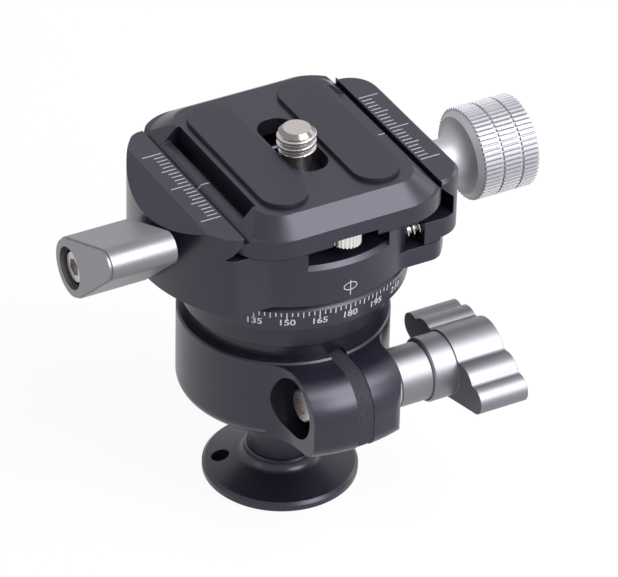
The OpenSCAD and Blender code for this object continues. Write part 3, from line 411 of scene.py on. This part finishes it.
finishes = {
    "foot_flange": blackAnodised("footBlack", axes["pan"]),
    "ball_stem": blackAnodised("stemBlack", axes["pan"]),
    "housing": blackAnodised("housingBlack"),
    "neck_ring": blackAnodised("neckBlack", axes["pan"], 0.8),
    "dial_ring": blackAnodised("dialBlack", axes["pan"]),
    "clamp_body": blackAnodised("clampBlack"),
    "moving_jaw": blackAnodised("jawBlack"),
    "camera_plate": blackAnodised("plateBlack"),
    "lever_ring": blackAnodised("leverRingBlack", axes["lever"], 0.7),
    "lock_sleeve": silverAnodised("sleeveSilver", axes["lock"]),
    "lock_knob": silverAnodised("wingSilver"),
    "clamp_knob": turnedMetal("knobSilver", axes["clampScrew"], knurled),
    "pan_lock_lever": silverAnodised("leverSilver"),
    "slit_strip": fleckedRubber("stripRubber"),
    "pad_left": padRubber("padRubber"),
    "foot_thread_insert": turnedMetal("insertSteel", axes["pan"]),
    "lock_spindle": turnedMetal("lockSteel", axes["lock"]),
    "clamp_screw": turnedMetal("clampSteel", axes["clampScrew"]),
    "lever_stud": turnedMetal("leverSteel", axes["lever"]),
    "pan_post": turnedMetal("postSteel", axes["pan"]),
    "guide_pin_front": turnedMetal("pinSteel", axes["frontPin"]),
    "guide_pin_rear": turnedMetal("pinSteelRear", axes["rearPin"]),
    "d_ring": turnedMetal("ringSteel", axes["cameraScrew"], ringSteel),
    "stop_screw_front": turnedMetal("stopSteel", axes["frontStop"], stopSteel),
    "stop_screw_rear": turnedMetal("stopSteelRear", axes["rearStop"], stopSteel),
    "ball_liner": nylon("nylon", axes["pan"]),
}
# nodes that take the finish of another
shared = {
    "pad_right": "pad_left",
    "friction_cup": "ball_liner", "pan_washer": "ball_liner", "brake_shoe": "ball_liner",
    "screw_clip": "lever_ring", "foot_grub_screw": "lever_ring",
    "spring_plate": "pan_post", "pan_retainer": "pan_post", "pan_screw": "pan_post",
    "lock_washer": "lock_spindle", "lock_end_washer": "lock_spindle", "lock_end_screw": "lock_spindle",
    "knob_washer": "clamp_screw", "lever_screw": "lever_stud",
    "jaw_spring_front": "guide_pin_front", "jaw_spring_rear": "guide_pin_rear",
    "camera_screw": "d_ring",
}
for name, node in nodes.items():
    look = finishes[shared.get(name, name)]
    for slot in node.material_slots:
        slot.material = look
print("finishes:", len(finishes))


# a mesh piece that rides on a body; one with no body is left unattached
def addPiece(name, points, faces, body, look, smooth=True):
    mesh = bpy.data.meshes.new(name)
    mesh.from_pydata([tuple(p) for p in points], [], faces)
    mesh.materials.append(look)
    mesh.validate()
    mesh.polygons.foreach_set("use_smooth", [smooth] * len(mesh.polygons))
    piece = bpy.data.objects.new(name, mesh)
    bpy.context.scene.collection.objects.link(piece)
    if body:
        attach(piece, body)
    return piece


paleMark = markPaint("markPaint")


def addMarks(name, points, faces, body):
    addPiece(name, points, faces, body, paleMark, smooth=False)


# a point at a radius, by its height and its distance along a round wall from the front, towards +X
def onRound(wall, along, height, radius):
    turn = along / wall - math.pi / 2
    return Vector((radius * math.cos(turn), radius * math.sin(turn), height))


dial = {
    "low": 41.0 * mm,
    "straightTop": 44.6 * mm,
    "lowRadius": 19.8 * mm,
    "topRadius": 20.15 * mm,
    "lift": 0.012 * mm,
    "tickTop": 44.6 * mm,
    # steps are in degrees, and a tick takes the first length whose step fits
    "tickStep": 2.5,
    "tickLengths": {15: 1.35 * mm, 7.5: 1.1 * mm, 2.5: 0.8 * mm},
    "tickWidth": 0.19 * mm,
    "numeralStep": 15,
    "numeralHeight": 1.15 * mm,
    "numeralWidth": 1.35 * mm,
    "numeralLow": 42.1 * mm,
    "numeralBold": 0.018,
    "numeralCurve": 6,
    "frontNumber": 180,
    "shift": 0.95 * mm,
}


# a point on the dial, whose wall leans outwards
def onDial(along, height):
    share = (height - dial["low"]) / (dial["straightTop"] - dial["low"])
    radius = dial["lowRadius"] + (dial["topRadius"] - dial["lowRadius"]) * share + dial["lift"]
    return onRound(dial["topRadius"], along, height, radius)


# flat glyphs of a text as points and faces, centred on x, with capitals of height one
def glyphs(text):
    curve = bpy.data.curves.new("glyphs", "FONT")
    curve.body = text
    curve.align_x = "CENTER"
    curve.offset = dial["numeralBold"]
    curve.resolution_u = dial["numeralCurve"]
    holder = bpy.data.objects.new("glyphs", curve)
    bpy.context.scene.collection.objects.link(holder)
    bpy.context.view_layer.update()
    mesh = holder.evaluated_get(bpy.context.evaluated_depsgraph_get()).to_mesh()
    flat = bmesh.new()
    flat.from_mesh(mesh)
    bmesh.ops.triangulate(flat, faces=flat.faces[:])
    height = max(v.co.y for v in flat.verts)
    points = [(v.co.x / height, v.co.y / height) for v in flat.verts]
    faces = [tuple(v.index for v in f.verts) for f in flat.faces]
    flat.free()
    bpy.data.objects.remove(holder)
    return points, faces


def dialMarks():
    points, faces = [], []
    rim = 2 * math.pi * dial["topRadius"]
    half = dial["tickWidth"] / 2
    ticks = round(360 / dial["tickStep"])
    for i in range(ticks):
        degrees = dial["tickStep"] * i
        length = next(size for step, size in dial["tickLengths"].items() if degrees % step == 0)
        middle = rim * degrees / 360 + dial["shift"]
        start = len(points)
        points.extend(onDial(middle + dx, dial["tickTop"] - dz)
                      for dx, dz in ((-half, length), (half, length), (half, 0), (-half, 0)))
        faces.append(tuple(range(start, start + 4)))
    numbers = 360 // dial["numeralStep"]
    wide, high = dial["numeralWidth"], dial["numeralHeight"]
    for i in range(numbers):
        number = (dial["frontNumber"] + dial["numeralStep"] * i) % 360
        middle = rim * i / numbers + dial["shift"]
        flat, cut = glyphs(str(number))
        start = len(points)
        points.extend(onDial(middle + x * wide, dial["numeralLow"] + y * high) for x, y in flat)
        faces.extend(tuple(start + k for k in face) for face in cut)
    addMarks("dial_marks", points, faces, "housing")
    print("dial:", ticks, "ticks and", numbers, "numbers")


dialMarks()

ruler = {
    "top": 60.4 * mm,
    "lift": 0.01 * mm,
    "inner": 17.85 * mm,
    "pitch": 1.0 * mm,
    "ticksEachWay": 10,
    # a tick takes the first length whose number divides its own
    "lengths": {10: 3.4 * mm, 5: 2.5 * mm, 1: 1.8 * mm},
    "width": 0.23 * mm,
}


def rulerMarks(name, body, side):
    points, faces = [], []
    half = ruler["width"] / 2
    height = ruler["top"] + ruler["lift"]
    inner = dovetailX + side * ruler["inner"]
    for i in range(-ruler["ticksEachWay"], ruler["ticksEachWay"] + 1):
        length = next(size for step, size in ruler["lengths"].items() if i % step == 0)
        y = i * ruler["pitch"]
        outer = inner + side * length
        start = len(points)
        points.extend((Vector((inner, y - half, height)), Vector((outer, y - half, height)),
                       Vector((outer, y + half, height)), Vector((inner, y + half, height))))
        face = tuple(range(start, start + 4))
        faces.append(face if side > 0 else tuple(reversed(face)))
    addMarks(name, points, faces, body)


rulerMarks("ruler_fixed", "clamp", -1)
rulerMarks("ruler_moving", "jaw", 1)

panMark = {
    "radius": 20.6 * mm,
    "lift": 0.012 * mm,
    "along": 0.5 * mm,
    "ringHeight": 48.4 * mm,
    "ringHalf": (1.15 * mm, 0.68 * mm),
    "ringSteps": 36,
    "stem": (46.7 * mm, 49.5 * mm),
    "line": 0.16 * mm,
}


# index mark on the clamp's front: a flat ring with a stroke through it
def clampMark():
    def onClamp(along, height):
        wall = panMark["radius"]
        return onRound(wall, panMark["along"] + along, height, wall + panMark["lift"])

    wide, high = panMark["ringHalf"]
    half = panMark["line"] / 2
    count = panMark["ringSteps"]
    points, faces = [], []
    for k in range(count):
        a = 2 * math.pi * k / count
        for grow in (-half, half):
            points.append(onClamp((wide + grow) * math.cos(a),
                                  panMark["ringHeight"] + (high + grow) * math.sin(a)))
    for k in range(count):
        n = (k + 1) % count
        faces.append((2 * k, 2 * k + 1, 2 * n + 1, 2 * n))
    start = len(points)
    low, top = panMark["stem"]
    points.extend((onClamp(-half, low), onClamp(half, low), onClamp(half, top), onClamp(-half, top)))
    faces.append(tuple(range(start, start + 4)))
    addMarks("clamp_mark", points, faces, "clamp")


clampMark()

plateMark = {
    "y": -0.85 * mm,
    "width": 0.22 * mm,
    "lift": 0.012 * mm,
    # from the lip's slope over its edge onto the flat rim: distance from the dovetail's middle, height
    "path": ((17.1 * mm, 59.7 * mm), (16.4 * mm, 60.4 * mm), (15.0 * mm, 60.4 * mm)),
}


# index mark over one lip of the camera plate
def lipMark(name, side):
    points, faces = [], []
    half = plateMark["width"] / 2
    lift = plateMark["lift"]
    for x, z in plateMark["path"]:
        for dy in (-half, half):
            points.append(Vector((dovetailX + side * (x + lift), plateMark["y"] + dy, z + lift)))
    for i in range(len(plateMark["path"]) - 1):
        face = (2 * i, 2 * i + 2, 2 * i + 3, 2 * i + 1)
        faces.append(face if side < 0 else tuple(reversed(face)))
    addMarks(name, points, faces, "plate")


lipMark("plate_mark_left", -1)
lipMark("plate_mark_right", 1)
print("rulers and index marks")

thread = {
    "headLow": 57.1 * mm,
    "headHigh": 59.3 * mm,
    "headRadius": 4.6 * mm,
    "headEdge": 0.3 * mm,
    "shankRadius": 2.4 * mm,
    "low": 62.75 * mm,
    "high": 66.8 * mm,
    "outer": 3.17 * mm,
    "root": 2.55 * mm,
    "pitch": 1.27 * mm,
    # a ridge over one pitch, before it is cut off flat at one: its height and the fall of its flanks
    "ridgeCrest": 1.55,
    "ridgeFall": 4.2,
    "runInSlope": 2.2,
    "runOut": 0.45 * mm,
    "topBevel": 0.95 * mm,
    "bevelSlope": 1.05,
    "topEdge": 0.1 * mm,
    "columns": 96,
    "rowStep": 0.05 * mm,
    "sharpAngle": 35,  # degrees
    "finish": steel | {"roughness": 0.36},
    # the bevelled end is cut smoother than its flat, and its darker colour is painted shade, standing in for
    # the dark surroundings that it reflects
    "bevelDrop": 0.75 * mm,
    "flatEdge": 0.01 * mm,
    "shadedBevelFinish": steel | {"colour": "94908f", "shade": "6c6867", "roughness": 0.22},
}


# radius of the thread at a height and a share of a turn
def threadRadius(z, turned):
    t = thread
    phase = ((z - t["low"]) / t["pitch"] - turned) % 1.0
    ridge = min(1.0, max(0.0, t["ridgeCrest"] - abs(phase - 0.5) * t["ridgeFall"]))
    # the grooves fill up from two run-outs below the end to one below it
    ridge = max(ridge, min(1.0, (z - t["high"]) / t["runOut"] + 2.0))
    radius = t["root"] + (t["outer"] - t["root"]) * ridge
    bevel = t["outer"] - t["topBevel"] + (t["high"] - z) * t["bevelSlope"]
    runIn = t["shankRadius"] + (z - t["low"]) * t["runInSlope"]
    return min(radius, bevel, runIn)


# camera screw: head, shank and a thread whose ridges climb once round for each pitch
def cameraScrew():
    t = thread
    n = t["columns"]
    edge = t["headEdge"]
    centre = Vector(axes["cameraScrew"][0])
    profile = [(t["headRadius"] - edge, t["headLow"]), (t["headRadius"], t["headLow"] + edge),
               (t["headRadius"], t["headHigh"] - edge), (t["headRadius"] - edge, t["headHigh"]),
               (t["shankRadius"], t["headHigh"]), (t["shankRadius"], t["low"])]
    rows = [[(r, z)] * n for r, z in profile]
    for i in range(round((t["high"] - t["low"]) / t["rowStep"]) + 1):
        z = t["low"] + t["rowStep"] * i
        rows.append([(threadRadius(z, k / n), z) for k in range(n)])
    rows.append([(t["outer"] - t["topBevel"] - t["topEdge"], t["high"])] * n)
    points, faces = [], []
    for row in rows:
        for k, (radius, z) in enumerate(row):
            a = 2 * math.pi * k / n
            points.append(centre + Vector((radius * math.cos(a), radius * math.sin(a), z)))
    for i in range(len(rows) - 1):
        for k in range(n):
            m = (k + 1) % n
            faces.append((i * n + k, i * n + m, (i + 1) * n + m, (i + 1) * n + k))
    faces.append(tuple(reversed(range(n))))
    faces.append(tuple(range((len(rows) - 1) * n, len(rows) * n)))
    piece = addPiece("camera_screw_threaded", points, faces, "screw",
                     turnedMetal("screwSteel", axes["cameraScrew"], t["finish"]))
    # the bevel's darker steel is painted shade
    piece.data.materials.append(turnedMetal("shadedBevelSteel", axes["cameraScrew"], t["shadedBevelFinish"]))
    for face in piece.data.polygons:
        if t["high"] - t["bevelDrop"] < face.center.z < t["high"] - t["flatEdge"]:
            face.material_index = 1
    piece.data.set_sharp_from_angle(angle=math.radians(t["sharpAngle"]))
    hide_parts("camera_screw")


cameraScrew()
print("camera screw")

spring = {
    "start": 12.75 * mm,
    "length": 5.85 * mm,
    "radius": 1.3 * mm,
    "wire": 0.45 * mm,
    "wireSides": 10,
    "curls": 5,
    "steps": 20,
    "finish": steel | {"roughness": 0.2},
}


# a tube of round wire along a line of points
def tube(points, radius, sides):
    rings = []
    side = None
    for i, point in enumerate(points):
        ahead = points[min(i + 1, len(points) - 1)] - points[max(i - 1, 0)]
        ahead.normalize()
        if side is None:
            side = ahead.orthogonal().normalized()
        side = (side - ahead * side.dot(ahead)).normalized()
        other = ahead.cross(side)
        rings.append([point + radius * (math.cos(a) * side + math.sin(a) * other)
                      for a in (2 * math.pi * k / sides for k in range(sides))])
    verts = [p for ring in rings for p in ring]
    last = (len(rings) - 1) * sides
    faces = []
    for low in range(0, last, sides):
        high = low + sides
        for k in range(sides):
            m = (k + 1) % sides
            faces.append((low + k, low + m, high + m, high + k))
    return verts, faces + [tuple(reversed(range(sides))), tuple(range(last, last + sides))]


# one of the two springs beside the moving jaw, stretched between clamp and jaw
def jawSpring(node, y):
    s = spring
    count = s["curls"] * s["steps"]
    points = []
    for i in range(count + 1):
        a = 2 * math.pi * i / s["steps"]
        x = s["start"] + s["wire"] / 2 + (s["length"] - s["wire"]) * i / count
        points.append(Vector((x, y + s["radius"] * math.cos(a), pinHeight + s["radius"] * math.sin(a))))
    verts, faces = tube(points, s["wire"] / 2, s["wireSides"])
    wound = turnedMetal("springSteel", ((0.0, y, pinHeight), axisX), s["finish"])
    piece = addPiece(node + "_wound", verts, faces, None, wound)
    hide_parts(node)
    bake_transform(piece)


jawSpring("jaw_spring_front", -pinY)
jawSpring("jaw_spring_rear", pinY)
print("jaw springs")

cameraView = {
    "place": (-318.897 * mm, -572.905 * mm, 487.790 * mm),
    "right": (0.87735, -0.47941, 0.02036),
    "up": (0.25764, 0.50644, 0.82288),
    "back": (-0.40481, -0.71671, 0.56785),
    "focal": 4966.18,  # in pixels of the image
    "imageWidth": 618,
    "sensor": 36.0,
    "clip": (0.05, 20.0),
}
lens = bpy.data.cameras.new("camera")
lens.sensor_width = cameraView["sensor"]
lens.lens = cameraView["focal"] * cameraView["sensor"] / cameraView["imageWidth"]
lens.clip_start, lens.clip_end = cameraView["clip"]
camera = bpy.data.objects.new("camera", lens)
bpy.context.scene.collection.objects.link(camera)
turn = Matrix((cameraView["right"], cameraView["up"], cameraView["back"])).transposed().to_4x4()
camera.matrix_world = Matrix.Translation(cameraView["place"]) @ turn
bpy.context.scene.camera = camera

white = (1.0, 1.0, 1.0, 1.0)


# one where the camera sees a surface itself, or in a mirror or glass
def seenShare(paint):
    kinds = [paint.node("ShaderNodeLightPath", output=name)
             for name in ("Is Camera Ray", "Is Glossy Ray", "Is Transmission Ray")]
    seen = kinds[0] + kinds[1] + kinds[2]
    return paint.node("ShaderNodeMath", {"operation": "MINIMUM"}, {0: seen, 1: 1.0})


# nearly white where it is seen, and pale where it lights the object and takes its shadow
floorLook = {"colour": "f2f2f4", "whiteShare": 0.93, "half": 6.0}
floorPaint = Paint("paleFloor")
lit = floorPaint.node("ShaderNodeBsdfDiffuse", None, {"Color": asColour(floorLook["colour"])})
glow = floorPaint.node("ShaderNodeEmission", None, {"Color": white, "Strength": 1.0})
share = seenShare(floorPaint) * floorLook["whiteShare"]
floorPaint.finish(floorPaint.node("ShaderNodeMixShader", None, {0: share, 1: lit, 2: glow}))
half = floorLook["half"]
corners = [(-half, -half, 0), (half, -half, 0), (half, half, 0), (-half, half, 0)]
floorMesh = bpy.data.meshes.new("floor")
floorMesh.from_pydata(corners, [], [(0, 1, 2, 3)])
floorMesh.materials.append(floorPaint.material)
floor = bpy.data.objects.new("floor", floorMesh)
bpy.context.scene.collection.objects.link(floor)

# softboxes: place in metres, width and height, watts
lights = {
    "front": {"place": (0.26, -0.7, 0.46), "size": (0.45, 0.36), "power": 4.6},
    "top": {"place": (0.31, -0.4, 0.79), "size": (0.6, 0.45), "power": 6.6},
    "right": {"place": (0.9, 0.1, 0.35), "size": (0.35, 0.5), "power": 1.1},
    "left": {"place": (-0.9, 0.05, 0.3), "size": (0.3, 0.4), "power": 0.6},
}
lightTarget = Vector((0.0, 0.0, 0.035))
for name, light in lights.items():
    lamp = bpy.data.lights.new(name, "AREA")
    lamp.shape = "RECTANGLE"
    lamp.size, lamp.size_y = light["size"]
    lamp.energy = light["power"]
    holder = bpy.data.objects.new(name, lamp)
    holder.location = light["place"]
    holder.rotation_mode = "QUATERNION"
    holder.rotation_quaternion = (lightTarget - holder.location).to_track_quat("-Z", "Y")
    bpy.context.scene.collection.objects.link(holder)

# the studio's level where it is seen, and where it lights a dull surface
studio = {"seen": 1.0, "lit": 0.4}
world = bpy.data.worlds.new("studio")
bpy.context.scene.world = world
studioPaint = Paint("studio", world)
level = seenShare(studioPaint) * (studio["seen"] - studio["lit"]) + studio["lit"]
backdrop = studioPaint.node("ShaderNodeBackground", None, {"Color": white, "Strength": level})
studioPaint.node("ShaderNodeOutputWorld", None, {"Surface": backdrop})
bpy.context.scene.view_settings.view_transform = "Standard"
print("camera, floor and lights")
